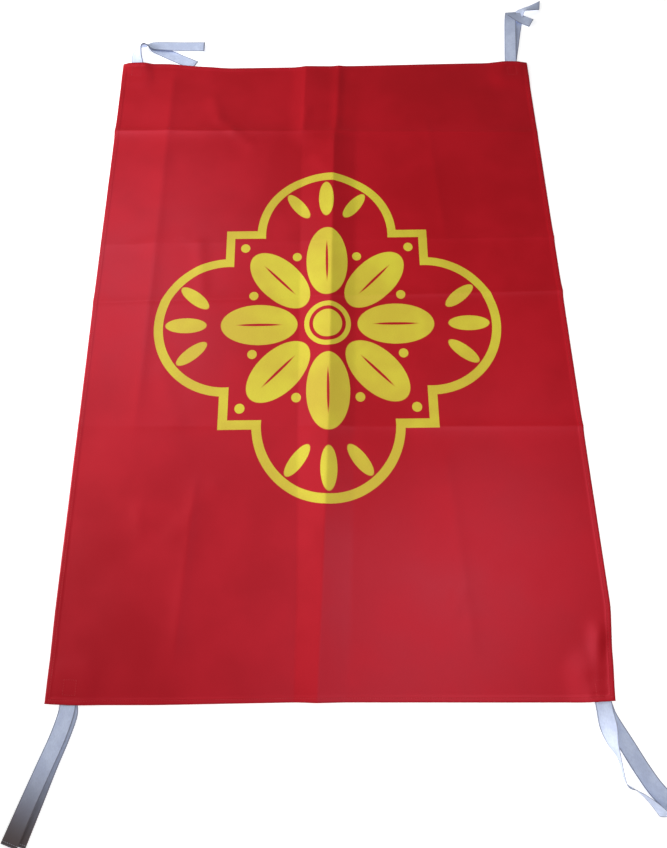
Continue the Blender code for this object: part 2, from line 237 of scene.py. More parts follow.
# Slack in the cloth: sizes of its soft hills and how high they are
Slack = namedtuple("Slack", "size height seed")
SLACK = listed(
    Slack,
    (0.14, 0.0011, 11),
    (0.062, 0.00072, 12),
    (0.03, 0.0003, 13),
)
SLACK_CELLS = 64
SLACK_START = 20.0
SLACK_ON_THE_RIGHT = 0.30
SLACK_FALL_START = -0.06
SLACK_FALL_RUN = 0.30

# How softly the folds meet the lifts over the ties, and how far all of it is lowered
LIFT_BLEND = 0.0008
LEVEL_DROP = 0.0003

# Small dents where a corner is sewn to its tie
Dent = namedtuple("Dent", "x up size depth")
DENTS = listed(
    Dent,
    (0.315, 0.0062, 0.003, 0.0007),
    (0.326, 0.006, 0.003, 0.0007),
    (0.316, 0.0235, 0.0028, 0.0006),
    (0.327, 0.023, 0.0028, 0.0006),
    (-0.331, 0.993, 0.003, 0.0006),
    (-0.318, 0.993, 0.003, 0.0006),
    (0.309, 0.988, 0.003, 0.0006),
    (0.322, 0.987, 0.003, 0.0006),
    (-0.325, 0.008, 0.003, 0.0005),
    (-0.313, 0.008, 0.003, 0.0005),
)

# One line across a tape: its middle beside the tie's place and out past the cloth's edge, its height,
# the direction it points in seen from above, how far its right end is tilted up, and its slant off square
TapeLine = namedtuple("TapeLine", "side out height across tilt slant", defaults=(0, 0))
SEWN_START = TapeLine(0.0, -SEWN_LENGTH, STEM_HEIGHT, 0)
SEWN_END = TapeLine(0.0, -0.005, STEM_HEIGHT, 0)

# A tie: its place at the cloth's edge, which way is out, how much the cloth's edge puffs up over it, its
# length laid out flat, how far in from its ends painted shade darkens it, the lines both layers share, each
# free tail, and the upper one's lines past a fold
TIE_COLUMNS = "name x edge outward puff flat_length soiled stem upper lower upper_folded"
Tie = namedtuple("Tie", TIE_COLUMNS, defaults=((),))
TOP_LEFT_TIE = Tie(
    name="tie_top_left",
    x=-0.3246,
    edge=0.4990,
    outward=1,
    puff=0.0024,
    flat_length=0.330,
    soiled=0.0,
    stem=listed(
        TapeLine,
        SEWN_START,
        (0.0, -0.005, 0.00135, 0, 1),
        (-0.0002, 0.0, 0.002, -1, 3),
        (-0.0007, 0.006, 0.0036, -4, 11),
        (-0.0018, 0.014, 0.0056, -9, 20),
        (-0.001, 0.024, 0.0076, -22, 29),
        (0.0028, 0.0318, 0.0092, -46, 42),
        (0.0076, 0.0335, 0.01, -66, 50),
        (0.0132, 0.0348, 0.01, -78, 50),
        (0.0182, 0.0368, 0.0084, -86, 30),
    ),
    upper=listed(
        TapeLine,
        (0.024, 0.038, 0.0062, -90, 12),
        (0.04, 0.0375, 0.0054, -91, 4),
        (0.07, 0.0362, 0.0052, -90, 2),
        (0.1135, 0.0355, 0.005, -90),
    ),
    lower=listed(
        TapeLine,
        (0.025, 0.0355, 0.0036, -104, 8),
        (0.042, 0.0275, 0.0022, -116, 2),
        (0.068, 0.014, 0.001, -117),
        (0.098, -0.0015, 0.0007, -118),
    ),
)
TOP_RIGHT_TIE = Tie(
    name="tie_top_right",
    x=0.3158,
    edge=0.4960,
    outward=1,
    puff=0.0010,
    flat_length=0.360,
    soiled=0.0,
    stem=listed(
        TapeLine,
        SEWN_START,
        SEWN_END,
    ),
    upper=listed(
        TapeLine,
        (0.0006, 0.01, 0.0026, -4),
        (0.0034, 0.045, 0.004, -5),
        (0.0062, 0.08, 0.0056, -5, -2),
        (0.0072, 0.0955, 0.0074, 10, -8, 15),
        (0.0084, 0.1055, 0.0088, 25, -15, 30),
    ),
    upper_folded=listed(
        TapeLine,
        (0.0176, 0.1015, 0.0062, 42, -8, 19),
        (0.029, 0.095, 0.0046, 58, -2, 3),
        (0.045, 0.0872, 0.0036, 61),
    ),
    lower=listed(
        TapeLine,
        (0.0022, 0.01, 0.0006, -8),
        (0.0095, 0.045, 0.0006, -12),
        (0.0168, 0.08, 0.0008, -14),
        (0.0212, 0.098, 0.0014, -26, 4),
        (0.0262, 0.11, 0.0036, -58, 16),
        (0.0345, 0.1168, 0.0056, -92, 25),
        (0.0461, 0.1216, 0.0047, -100, 16),
        (0.0653, 0.1322, 0.0014, -98, -3),
    ),
)
BOTTOM_LEFT_TIE = Tie(
    name="tie_bottom_left",
    x=-0.3190,
    edge=-0.4970,
    outward=-1,
    puff=0.0,
    flat_length=0.362,
    # Painted shade darkens this tie's tails towards their ends
    soiled=0.105,
    stem=listed(
        TapeLine,
        SEWN_START,
        SEWN_END,
    ),
    upper=listed(
        TapeLine,
        (-0.0012, 0.012, 0.002, -9),
        (-0.0078, 0.037, 0.0026, -17),
        (-0.0178, 0.065, 0.004, -20, 1),
        (-0.0308, 0.1, 0.0048, -20, 2),
        (-0.0482, 0.1455, 0.003, -19),
    ),
    lower=listed(
        TapeLine,
        (0.0026, 0.012, 0.0006, -8),
        (-0.004, 0.037, 0.0006, -16),
        (-0.0138, 0.065, 0.0006, -19),
        (-0.025, 0.1, 0.0006, -19),
        (-0.0398, 0.146, 0.0006, -18),
    ),
)
BOTTOM_RIGHT_TIE = Tie(
    name="tie_bottom_right",
    x=0.3240,
    edge=-0.5015,
    outward=-1,
    puff=0.0012,
    flat_length=0.360,
    soiled=0.0,
    stem=listed(
        TapeLine,
        SEWN_START,
        SEWN_END,
    ),
    upper=listed(
        TapeLine,
        (0.0002, 0.01, 0.003, 1, 5),
        (0.0002, 0.027, 0.0068, 9, 28),
        (0.0006, 0.0435, 0.0108, 24, 72),
        (0.0059, 0.0617, 0.0112, 22, 102),
        (0.0094, 0.083, 0.011, 24, 107),
        (0.0162, 0.0888, 0.0112, 60, 88),
        (0.0262, 0.0945, 0.0112, 62, 85),
        (0.0382, 0.1045, 0.011, 48, 76),
        (0.0508, 0.1182, 0.01, 34, 62),
    ),
    lower=listed(
        TapeLine,
        (0.0018, 0.006, 0.0006, 8),
        (0.0062, 0.02, 0.0006, 22),
        (0.0215, 0.048, 0.001, 28),
        (0.035, 0.0738, 0.0024, 30, 1),
        (0.05, 0.0965, 0.0032, 40, 5),
        (0.076, 0.1205, 0.0012, 50),
    ),
)
TIES = [TOP_LEFT_TIE, TOP_RIGHT_TIE, BOTTOM_LEFT_TIE, BOTTOM_RIGHT_TIE]

# The printed design: a barbed quatrefoil line round an eight-petalled rosette
DESIGN_X = -0.003
DESIGN_UP = 0.503
DESIGN_STRETCH = 1.04
FRAME_HALF = 0.147
FRAME_LOBE = 0.100
FRAME_LINE = 0.0130
PETAL_AT = 0.100
PETAL_HALF_LENGTH = 0.056
PETAL_HALF_WIDTH = 0.031
VEIN_HALF_WIDTH = 0.0019
VEIN_HALF_LENGTH = 0.030
HEART_RADIUS = 0.034
HEART_RING = 0.024
HEART_RING_LINE = 0.0055
SEED_AT = 0.118
SEED_RADIUS = 0.0068
CORNER_DOT_AT = 0.124
CORNER_DOT_RADIUS = 0.0070
HEART_MOAT = 0.0075
PRINT_EDGE = 0.0007
BACK_PRINT = 0.55

# A leaf: its place in a lobe, how far it is turned, and its half length and half width
Leaf = namedtuple("Leaf", "out side turn half_length half_width")
LEAVES = [
    Leaf(0.207, 0.000, 0, 0.030, 0.0115),
    Leaf(0.196, 0.043, 38, 0.026, 0.0095),
]

# Colours
RED = (0.450, 0.0060, 0.0120)
RED_DEEP = (0.400, 0.0050, 0.0095)
YELLOW = (0.690, 0.650, 0.0480)
YELLOW_THIN = (0.600, 0.500, 0.0420)
# Painted light: the blue tint of the tape colours stands in for cool light on white tape
TAPE_COLOUR = (0.615, 0.695, 0.895)
TAPE_SHADE = (0.535, 0.610, 0.815)
# Painted shade: the dark colour along both edges of each tape
PAINTED_EDGE_SHADE = (0.190, 0.210, 0.300)
# Painted shade that a tape's ends fade to, where a shadow falls over the bottom left tie's tails
TAPE_PAINTED_SHADE = (0.110, 0.085, 0.085)
RED_THREAD = (0.560, 0.020, 0.030)
WHITE_THREAD = (0.560, 0.600, 0.720)
# A darker colour over a short length at each tape's very ends
END_DARK_COLOUR = (0.200, 0.200, 0.240)
END_DARK_LENGTH = 0.0012
SELVEDGE_WIDTH = 0.0012
SELVEDGE_SOFTNESS = 0.0005
SATIN_SHEEN = (1.0, 0.20, 0.31)

# Weaves: the pitch of the threads
WEFT_PITCH = 0.00085
WARP_PITCH = 0.00055
RIB_PITCH = 0.0011
TWILL_PITCH = 0.0012
PLY_PITCH = 0.0006

# The cloth's grid: its lines in the hem and beside a crease, how many lie between, and its rows
HEM_LINES = [0.0, 0.0012, 0.0025, 0.0038, 0.0048, 0.0058, 0.0066, 0.0074, 0.0095]
CREASE_LINES = [0.0012, 0.0026, 0.0045, 0.0070]
LEFT_FIELD = 74
BAND_FIELD = 8
RIGHT_FIELD = 84
ROW_STEP = 0.0062
ROWS_AT_CREASE = [-0.0085, -0.0052, -0.0028, -0.0012, 0.0, 0.0012, 0.0028, 0.0052, 0.0085]
ROW_CLEARANCE = ROW_STEP * 0.4

# The camera
CAMERA_PLACE = np.array([0.00243945, -0.3745758, 0.74288261])
CAMERA_TURN = (16.87395974, 0.08372051, -0.65746056)
CAMERA_LENS = 23.774
CAMERA_SENSOR = 36.0
CAMERA_NEAREST = 0.01
CAMERA_FARTHEST = 50.0

# Lights: place, what it faces, power, size and colour
Lamp = namedtuple("Lamp", "name place aim watts size colour")
LAMPS = [
    Lamp("window_left", (-2.50, 0.05, 0.67), (-0.05, 0.00, 0.0), 90.0, 1.50, (1.0, 0.98, 0.97)),
    Lamp("top_right", (0.39, -0.33, 1.09), (0.20, -0.10, 0.0), 4.2, 0.35, (1.0, 0.98, 0.96)),
    Lamp("top_left", (-0.59, 0.50, 0.92), (-0.20, 0.10, 0.0), 4.0, 0.35, (0.92, 0.95, 1.0)),
    Lamp("near_side", (0.13, -0.76, 0.92), (0.05, -0.20, 0.0), 1.7, 0.35, (1.0, 0.98, 0.96)),
]
WORLD_LIGHT = 0.13
WHITE = (1.0, 1.0, 1.0, 1.0)

# The floor
FLOOR_HALF = 8.0
FLOOR_DROP = 0.0002
FLOOR_COLOUR = (0.90, 0.90, 0.90)
FLOOR_GLOW = 0.55

# A card beside the banner that keeps the left lamp off the bottom left corner: where across, from where to
# where along, and how high
CARD_X = -0.90
CARD_START_Y = -1.10
CARD_END_Y = -0.31
CARD_HEIGHT = 0.34


def smooth(value):
    """Eases from 0 to 1."""
    value = np.clip(value, 0.0, 1.0)
    return value * value * (3 - 2 * value)


def unit(vector):
    """The vector at length 1."""
    return vector / np.linalg.norm(vector)


def read_table(table, key, column, at):
    """The column's value between the rows of a table, along straight lines from row to row."""
    keys = [getattr(row, key) for row in table]
    values = [getattr(row, column) for row in table]
    return np.interp(at, keys, values)


def read_softly(table, key, column, at):
    """The same, with the bends between rows rounded."""
    total = sum(read_table(table, key, column, at + share * EDGE_ROUNDING) for share in ROUNDING_SHARES)
    return total / len(ROUNDING_SHARES)


def ridge(distance, rounding, reach):
    """A ridge's profile: 1 on its crest, falling off on both sides with a rounded crest."""
    return np.exp(-(np.sqrt(distance * distance + rounding * rounding) - rounding) / reach)


def tie_lift(x, y):
    """How high the cloth stands over the nearest tie's folded tape."""
    lift = np.zeros_like(x)
    for tie in TIES:
        inner = tie.edge - tie.outward * SEWN_LENGTH
        beside = np.maximum(np.abs(x - tie.x) - TAPE_WIDTH / 2, 0.0)
        past_end = np.maximum((inner - y) * tie.outward, 0.0)
        away = np.hypot(beside, past_end)
        over_tape = CLEAR_OF_TIE * (1 - smooth((away - LIFT_MARGIN * 0.4) / LIFT_FADE))
        near_edge = 1 - smooth((tie.edge - y) * tie.outward / SEWN_LENGTH)
        puff = tie.puff * near_edge * (1 - smooth(beside / PUFF_FADE))
        lift = np.maximum(lift, over_tape + puff)
    return lift


def tuck_lift(x, y):
    """How high the top edge stands over the tail that slips under it."""
    beside = np.maximum(np.maximum(TUCK_LOW_X - x, x - TUCK_HIGH_X), 0.0)
    past_end = np.maximum(CLOTH_HEIGHT / 2 - TUCK_DEPTH - y, 0.0)
    return TUCK_LIFT * (1 - smooth((np.hypot(beside, past_end) - LIFT_MARGIN) / LIFT_FADE))


def foot(share, bend):
    """The slope beside the storage fold: 1 at its crease and 0 at its foot, hollow by bend."""
    return (1 - bend) * share + bend * share * share


def sharp_band(x, up):
    """The storage fold before its creases are rounded."""
    left = read_softly(BAND, "up", "left", up)
    right = read_softly(BAND, "up", "right", up)
    left_height = read_softly(BAND, "up", "left_height", up)
    right_height = read_softly(BAND, "up", "right_height", up)
    before = np.clip(1 - (left - x) / BAND_FOOT_LEFT, 0.0, 1.0)
    after = np.clip(1 - (x - right) / BAND_FOOT_RIGHT, 0.0, 1.0)
    share = np.clip((x - left) / (right - left), 0.0, 1.0)
    strip = left_height * (1 - share) + right_height * share
    left_slope = left_height * foot(before, BAND_FOOT_BEND_LEFT)
    right_slope = right_height * foot(after, BAND_FOOT_BEND_RIGHT)
    return np.where(x < left, left_slope, np.where(x > right, right_slope, strip))


def band_height(x, up):
    """The storage fold: a flat strip that leans between two soft creases, with a slope on each side."""
    total = sum(sharp_band(x + share * BAND_ROUNDING, up) for share in ROUNDING_SHARES)
    return BAND_RAISE * total / len(ROUNDING_SHARES)


def cross_crease_height(crease, x, up):
    """A ridge across the cloth, as high as the side of the cloth it is on has it."""
    distance = up - crease.up - crease.slope * x / (CLOTH_WIDTH / 2)
    share = np.abs(x) / (CLOTH_WIDTH / 2)
    side_height = np.where(x < 0, crease.left_height, crease.right_height)
    height = crease.middle_height * (1 - share) + side_height * share
    reach = np.where(distance < 0, crease.near, crease.far)
    return height * ridge(distance, CROSS_ROUNDING, reach)


def down_crease_height(crease, x, up):
    """A short ridge down the cloth that dies out at both ends."""
    middle = (crease.low + crease.high) / 2
    along = (up - middle) / ((crease.high - crease.low) / 2)
    distance = x - crease.x - crease.lean * along
    ends = smooth((1 - np.abs(along)) * 3)
    reach = np.where(distance < 0, crease.left, crease.right)
    return crease.height * ends * ridge(distance, DOWN_ROUNDING, reach)


def wrinkle_height(wrinkle, x, up):
    """A small soft ridge or trough between two places."""
    run = np.array([wrinkle.end_x - wrinkle.x, wrinkle.end_up - wrinkle.up])
    length = np.hypot(*run)
    away_x = x - wrinkle.x
    away_up = up - wrinkle.up
    share = np.clip((away_x * run[0] + away_up * run[1]) / (length * length), 0.0, 1.0)
    distance = np.hypot(away_x - share * run[0], away_up - share * run[1])
    return WRINKLE_SHARE * wrinkle.height * np.exp(-0.5 * (distance / (WRINKLE_SPREAD * wrinkle.width)) ** 2)


def hills(slack, x, up):
    """Soft hills of one size, from a fixed table of chance heights."""
    chance = np.random.RandomState(slack.seed).rand(SLACK_CELLS, SLACK_CELLS)
    across = x / slack.size + SLACK_START
    along = up / slack.size + SLACK_START
    i = np.floor(across).astype(int)
    j = np.floor(along).astype(int)
    u = smooth(across - i)
    v = smooth(along - j)
    low = chance[i, j] * (1 - u) + chance[i + 1, j] * u
    high = chance[i, j + 1] * (1 - u) + chance[i + 1, j + 1] * u
    return slack.height * (low * (1 - v) + high * v)


def hem_parts(x, y, up):
    """How far a place is in the hem, in its line of stitches and at the cloth's rim, each from 0 to 1."""
    left = x - read_softly(SIDE_EDGES, "up", "left", up)
    right = read_softly(SIDE_EDGES, "up", "right", up) - x
    low = y - cloth_y(x, np.zeros_like(up))
    high = cloth_y(x, np.ones_like(up)) - y
    inside = np.minimum(np.minimum(left, right), np.minimum(low, high))
    hem = 1 - smooth((inside - HEM_WIDTH + HEM_STEP / 2) / HEM_STEP)
    groove = np.exp(-0.5 * ((inside - HEM_STITCH_IN) / HEM_GROOVE_WIDTH) ** 2)
    rim = 1 - smooth(inside / RIM_WIDTH)
    return hem, groove, rim


def cloth_height(x, y, up):
    """The height of the cloth above the surface it lies on."""
    folds = band_height(x, up)
    for crease in CROSS_CREASES:
        folds = folds + cross_crease_height(crease, x, up)
    for crease in DOWN_CREASES:
        folds = folds + down_crease_height(crease, x, up)
    for wrinkle in WRINKLES:
        folds = folds + wrinkle_height(wrinkle, x, up)
    slack = sum(hills(part, x, up) for part in SLACK)
    share = smooth((x - SLACK_FALL_START) / SLACK_FALL_RUN)
    folds = folds + slack * (1 - share * (1 - SLACK_ON_THE_RIGHT))
    lifts = np.maximum(tie_lift(x, y), tuck_lift(x, y))
    for dent in DENTS:
        away = np.hypot(x - dent.x, up - dent.up)
        lifts = lifts - dent.depth * np.exp(-0.5 * (away / dent.size) ** 2)
    gap = folds - lifts
    height = (folds + lifts + np.sqrt(gap * gap + LIFT_BLEND**2)) / 2
    return np.maximum(height - LEVEL_DROP, 0.0)


def cloth_y(x, up):
    """Where a row of the cloth lies, with the top and bottom edges as uneven as they are."""
    top = read_softly(TOP_EDGE, "x", "out", x)
    bottom = read_softly(BOTTOM_EDGE, "x", "out", x)
    top_share = 1 - smooth((CLOTH_HEIGHT - up) / EDGE_FADE)
    bottom_share = 1 - smooth(up / EDGE_FADE)
    return up - CLOTH_HEIGHT / 2 + top * top_share - bottom * bottom_share


def cloth_top(x, y, up):
    """The height of the cloth's face."""
    hem, groove, rim = hem_parts(x, y, up)
    rise = HEM_RISE * hem * (1 - HEM_GROOVE_SHARE * groove) - RIM_DROP * rim
    return cloth_height(x, y, up) + CLOTH_OFF_SURFACE + CLOTH_SKIN + rise


def cloth_under(x, y, up):
    """The height of the cloth's underside."""
    hem = hem_parts(x, y, up)[0]
    return cloth_height(x, y, up) + CLOTH_OFF_SURFACE * (1 - hem) + HEM_OFF_SURFACE * hem


def between(start, end, count):
    """Places between two lines, without the lines themselves."""
    shares = np.arange(1, count + 1) / (count + 1)
    return [start + (end - start) * share for share in shares]


def row_places(up):
    """Where the grid's lines cross each row: close in the hem and beside the storage fold's creases."""
    left_edge = read_softly(SIDE_EDGES, "up", "left", up)
    right_edge = read_softly(SIDE_EDGES, "up", "right", up)
    fold_left = read_softly(BAND, "up", "left", up)
    fold_right = read_softly(BAND, "up", "right", up)
    far = CREASE_LINES[-1]
    places = [left_edge + line for line in HEM_LINES]
    places += between(left_edge + HEM_LINES[-1], fold_left - far, LEFT_FIELD)
    places += [fold_left - line for line in reversed(CREASE_LINES)] + [fold_left]
    places += [fold_left + line for line in CREASE_LINES]
    places += between(fold_left + far, fold_right - far, BAND_FIELD)
    places += [fold_right - line for line in reversed(CREASE_LINES)] + [fold_right]
    places += [fold_right + line for line in CREASE_LINES]
    places += between(fold_right + far, right_edge - HEM_LINES[-1], RIGHT_FIELD)
    places += [right_edge - line for line in reversed(HEM_LINES)]
    return np.array(places)


def row_heights():
    """How far up each row of the grid is: close in the hem and beside the creases across."""
    rows = HEM_LINES + [CLOTH_HEIGHT - line for line in HEM_LINES]
    fixed = [crease.up for crease in CROSS_CREASES]
    rows += [up + step for up in fixed for step in ROWS_AT_CREASE]
    count = int(CLOTH_HEIGHT / ROW_STEP)
    for up in np.linspace(0, CLOTH_HEIGHT, count):
        in_hem = min(up, CLOTH_HEIGHT - up) < HEM_LINES[-1] + ROW_CLEARANCE
        at_crease = any(abs(up - place) < ROWS_AT_CREASE[-1] + ROW_CLEARANCE for place in fixed)
        if not in_hem and not at_crease:
            rows.append(float(up))
    return np.array(sorted(rows))


def cloth_grid():
    """The grid's places on the cloth, with its rows following the creases across."""
    rows = row_heights()
    x = row_places(rows).T
    up = np.repeat(rows[:, None], x.shape[1], axis=1)
    for crease in CROSS_CREASES:
        share = 1 - smooth(np.abs(up - crease.up) / CROSS_WARP)
        near = np.abs(rows[:, None] - crease.up) < CROSS_WARP
        up = up + crease.slope * x / (CLOTH_WIDTH / 2) * share * near
    return x, up, cloth_y(x, up)


def show(name, data):
    """An object for the data, in the scene."""
    thing = bpy.data.objects.new(name, data)
    bpy.context.scene.collection.objects.link(thing)
    return thing


def add_mesh(name, vertices, faces, flat_places, material_numbers, materials):
    """Adds a smooth-shaded mesh whose UV map holds flat places in metres."""
    mesh = bpy.data.meshes.new(name)
    mesh.from_pydata((vertices - ROW_SHIFT).tolist(), [], faces)
    uv = mesh.uv_layers.new(name="flat")
    loops = np.zeros(len(mesh.loops), dtype=np.int32)
    mesh.loops.foreach_get("vertex_index", loops)
    uv.data.foreach_set("uv", flat_places[loops].astype(np.float32).ravel())
    for material in materials:
        mesh.materials.append(material)
    mesh.polygons.foreach_set("material_index", np.array(material_numbers, dtype=np.int32))
    mesh.polygons.foreach_set("use_smooth", np.ones(len(mesh.polygons), dtype=bool))
    mesh.update()
    mesh.validate()
    return show(name, mesh)


def grid_rim(rows, lines):
    """The border of a grid, once round."""
    rim = [(0, i) for i in range(lines)]
    rim += [(j, lines - 1) for j in range(1, rows)]
    rim += [(rows - 1, i) for i in range(lines - 2, -1, -1)]
    rim += [(j, 0) for j in range(rows - 2, 0, -1)]
    return rim


def skin_faces(rows, lines):
    """Quads over a grid, the same quads under it and a rim between them, and how many of each there are."""
    j, i = np.meshgrid(np.arange(rows - 1), np.arange(lines - 1), indexing="ij")
    corner = (j * lines + i).ravel()
    over = np.stack([corner, corner + 1, corner + lines + 1, corner + lines], axis=1)
    beneath = rows * lines
    under = over[:, ::-1] + beneath
    rim = [row * lines + line for row, line in grid_rim(rows, lines)]
    side = [[there, here, here + beneath, there + beneath] for here, there in zip(rim, rim[1:] + rim[:1])]
    return over.tolist() + under.tolist() + side, (len(over), len(under), len(side))


def build_cloth(face_material, under_material):
    """The banner's one piece of cloth, thin, closed and hemmed."""
    x, up, y = cloth_grid()
    rows, lines = x.shape
    top = np.stack([x, y, cloth_top(x, y, up)], axis=-1).reshape(-1, 3)
    under = np.stack([x, y, cloth_under(x, y, up)], axis=-1).reshape(-1, 3)
    flat = np.stack([x, up], axis=-1).reshape(-1, 2)
    faces, (face_count, under_count, rim_count) = skin_faces(rows, lines)
    numbers = [0] * face_count + [1] * under_count + [0] * rim_count
    vertices = np.concatenate([top, under])
    materials = [face_material, under_material]
    return add_mesh("cloth", vertices, faces, np.concatenate([flat, flat]), numbers, materials)


def add_stitches(name, stitches, length, material):
    """Short bulging threads, each given as its middle, its direction and the way it faces."""
    sides = THREAD_SIDES
    last = len(THREAD_RINGS) - 1
    vertices = []
    faces = []
    flat = []
    for middle, along, facing in stitches:
        across = np.cross(facing, along)
        start = len(vertices)
        for ring in THREAD_RINGS:
            centre = middle + along * (ring.along * length) + facing * (ring.rise * THREAD_RADIUS)
            for k in range(sides):
                angle = 2 * math.pi * k / sides
                spoke = across * math.cos(angle) + facing * (THREAD_FLATNESS * math.sin(angle))
                vertices.append(centre + spoke * (THREAD_RADIUS * ring.girth))
                flat.append((ring.along * length, angle * THREAD_RADIUS))
        for step in range(last):
            here = start + step * sides
            there = here + sides
            for k in range(sides):
                after = (k + 1) % sides
                faces.append([here + k, here + after, there + after, there + k])
        faces.append([start + k for k in reversed(range(sides))])
        faces.append([start + last * sides + k for k in range(sides)])
    return add_mesh(name, np.array(vertices), faces, np.array(flat), [0] * len(faces), [material])


def cloth_stitch(x, up, direction):
    """One stitch lying on the cloth's face."""
    places_x = np.array([x, x + STITCH_REACH, x])
    places_up = np.array([up, up, up + STITCH_REACH])
    y = cloth_y(places_x, places_up)
    z = cloth_top(places_x, y, places_up)
    points = np.stack([places_x, y, z], axis=1)
    facing = unit(np.cross(points[1] - points[0], points[2] - points[0]))
    along = np.array([direction[0], direction[1], 0.0])
    return points[0], unit(along - facing * along.dot(facing)), facing


def hem_stitches():
    """The stitches along the four hems."""
    made = []
    low = HEM_STITCH_IN
    high = CLOTH_HEIGHT - HEM_STITCH_IN
    for up in np.arange(low, high, HEM_STITCH_PITCH):
        at = np.array([up])
        left = read_softly(SIDE_EDGES, "up", "left", at)[0] + HEM_STITCH_IN
        right = read_softly(SIDE_EDGES, "up", "right", at)[0] - HEM_STITCH_IN
        made.append(cloth_stitch(left, up, (0.0, 1.0)))
        made.append(cloth_stitch(right, up, (0.0, 1.0)))
    for x in np.arange(HEM_STITCHES_FROM, HEM_STITCHES_TO, HEM_STITCH_PITCH):
        made.append(cloth_stitch(x, low, (1.0, 0.0)))
        made.append(cloth_stitch(x, high, (1.0, 0.0)))
    return made


def box_stitches():
    """The rectangle of stitches that holds each tie behind its corner."""
    made = []
    for tie in TIES:
        edge_up = tie.edge + CLOTH_HEIGHT / 2
        near = edge_up - tie.outward * BOX_STITCH_NEAR
        far = edge_up - tie.outward * BOX_STITCH_FAR
        left = tie.x - BOX_STITCH_HALF
        right = tie.x + BOX_STITCH_HALF
        low = min(near, far) + BOX_CORNER_GAP
        high = max(near, far) - BOX_LAST_STITCH
        for up in (near, far):
            for x in np.arange(left, right + BOX_LAST_STITCH, BOX_STITCH_PITCH):
                made.append(cloth_stitch(x, up, (1.0, 0.0)))
        for x in (left, right):
            for up in np.arange(low, high, BOX_STITCH_PITCH):
                made.append(cloth_stitch(x, up, (0.0, 1.0)))
    return made


def line_ends(tie, line):
    """The left and right ends of one line across a tape."""
    turn = math.radians(line.across)
    tilt = math.radians(line.tilt)
    half = TAPE_WIDTH / 2 / math.cos(math.radians(line.slant))
    along = np.array([math.cos(tilt) * math.cos(turn), math.cos(tilt) * math.sin(turn), math.sin(tilt)])
    middle = np.array([tie.x + line.side, tie.edge + tie.outward * line.out, line.height])
    return np.array([middle - along * half, middle + along * half])


def drawn_lines(lines):
    """More lines across the tape, read from smooth curves through the ends of the given ones."""
    padded = [lines[0]] + list(lines) + [lines[-1]]
    drawn = []
    for k in range(len(lines) - 1):
        before, start, end, after = padded[k : k + 4]
        slope = end - before
        bend = 2 * before - 5 * start + 4 * end - after
        twist = 3 * start - before - 3 * end + after
        for step in range(TAPE_STEPS):
            share = step / TAPE_STEPS
            drawn.append(0.5 * (2 * start + slope * share + bend * share**2 + twist * share**3))
    drawn.append(lines[-1])
    return drawn


def line_normals(lines):
    """The direction square to the tape at each of its lines."""
    normals = []
    for k, (left, right) in enumerate(lines):
        before = lines[max(k - 1, 0)]
        after = lines[min(k + 1, len(lines) - 1)]
        forward = (after[0] + after[1]) - (before[0] + before[1])
        normals.append(unit(np.cross(right - left, forward)))
    return normals


def half_turn(line, up, forward, drop):
    """Lines around a fold: the tape turns under by half a circle and comes back lower by drop."""
    radius = drop / 2
    turned = []
    for step in range(1, BEND_STEPS):
        angle = math.pi * step / BEND_STEPS
        shift = forward * (radius * math.sin(angle)) - up * (radius * (1 - math.cos(angle)))
        turned.append(line + shift)
    return turned


def tie_lines(tie):
    """All lines of one tie, from its upper tail's end through the sewn fold to its lower tail's end."""
    stem = drawn_lines([line_ends(tie, line) for line in tie.stem])
    facing = line_normals(stem)
    if facing[0][2] < 0:
        facing = [-normal for normal in facing]
    over = [line + normal * (LAYER_PITCH / 2) for line, normal in zip(stem, facing)]
    under = [line - normal * (LAYER_PITCH / 2) for line, normal in zip(stem, facing)]
    upper_lines = [line_ends(tie, line) for line in tie.upper]
    lower_lines = [line_ends(tie, line) for line in tie.lower]
    keep = TAPE_STEPS
    upper = over[:-keep] + drawn_lines([over[-keep], over[-1]] + upper_lines)
    lower = under[:-keep] + drawn_lines([under[-keep], under[-1]] + lower_lines)
    if tie.upper_folded:
        crease = upper[-1]
        along = unit(crease[1] - crease[0])
        outward = np.array([0.0, tie.outward, 0.0])
        outward = unit(outward - along * outward.dot(along))
        raised = np.cross(outward, along)
        raised = raised * np.sign(raised[2])
        landed = crease - raised * LAYER_PITCH
        after = [line_ends(tie, line) for line in tie.upper_folded]
        upper += half_turn(crease, raised, outward, LAYER_PITCH)
        upper += drawn_lines([landed] + after)
    inward = np.array([0.0, -tie.outward, 0.0])
    sewn_fold = half_turn(upper[0], np.array([0.0, 0.0, 1.0]), inward, LAYER_PITCH)
    return list(reversed(upper)) + sewn_fold + lower


